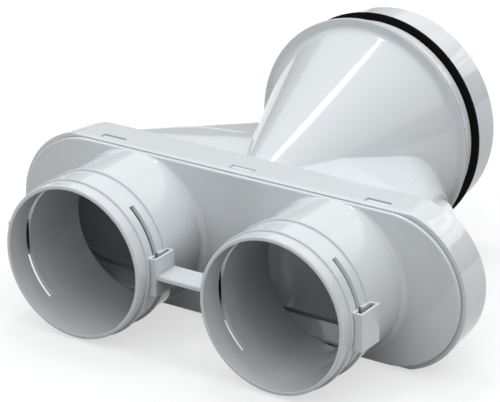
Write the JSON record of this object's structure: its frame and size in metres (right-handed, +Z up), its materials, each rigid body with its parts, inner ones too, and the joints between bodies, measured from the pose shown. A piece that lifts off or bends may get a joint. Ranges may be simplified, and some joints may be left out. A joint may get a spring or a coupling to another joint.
{
  "type": "duct branch adapter",
  "caption": "Ventilation duct adapter: side-by-side round spigots on a long round-ended plate lead through a tapering box and a cone into one larger round collar with a rubber seal.",
  "frame": {"origin": "centre of the bounding box in x and y, at the level of the table it rests on", "axes": "+X across the spigots, +Y from the spigot mouths to the collar and out along the collar axis, +Z up"},
  "size_m": [0.2708, 0.2254, 0.1293],
  "materials": {
    "white_plastic": "moulded, glossy",
    "seal_rubber": "matte"
  },
  "bodies": {
    "root": {"front_plate": "white_plastic", "rear_body": "white_plastic", "seal_ring": "seal_rubber"}
  },
  "joints": []
}
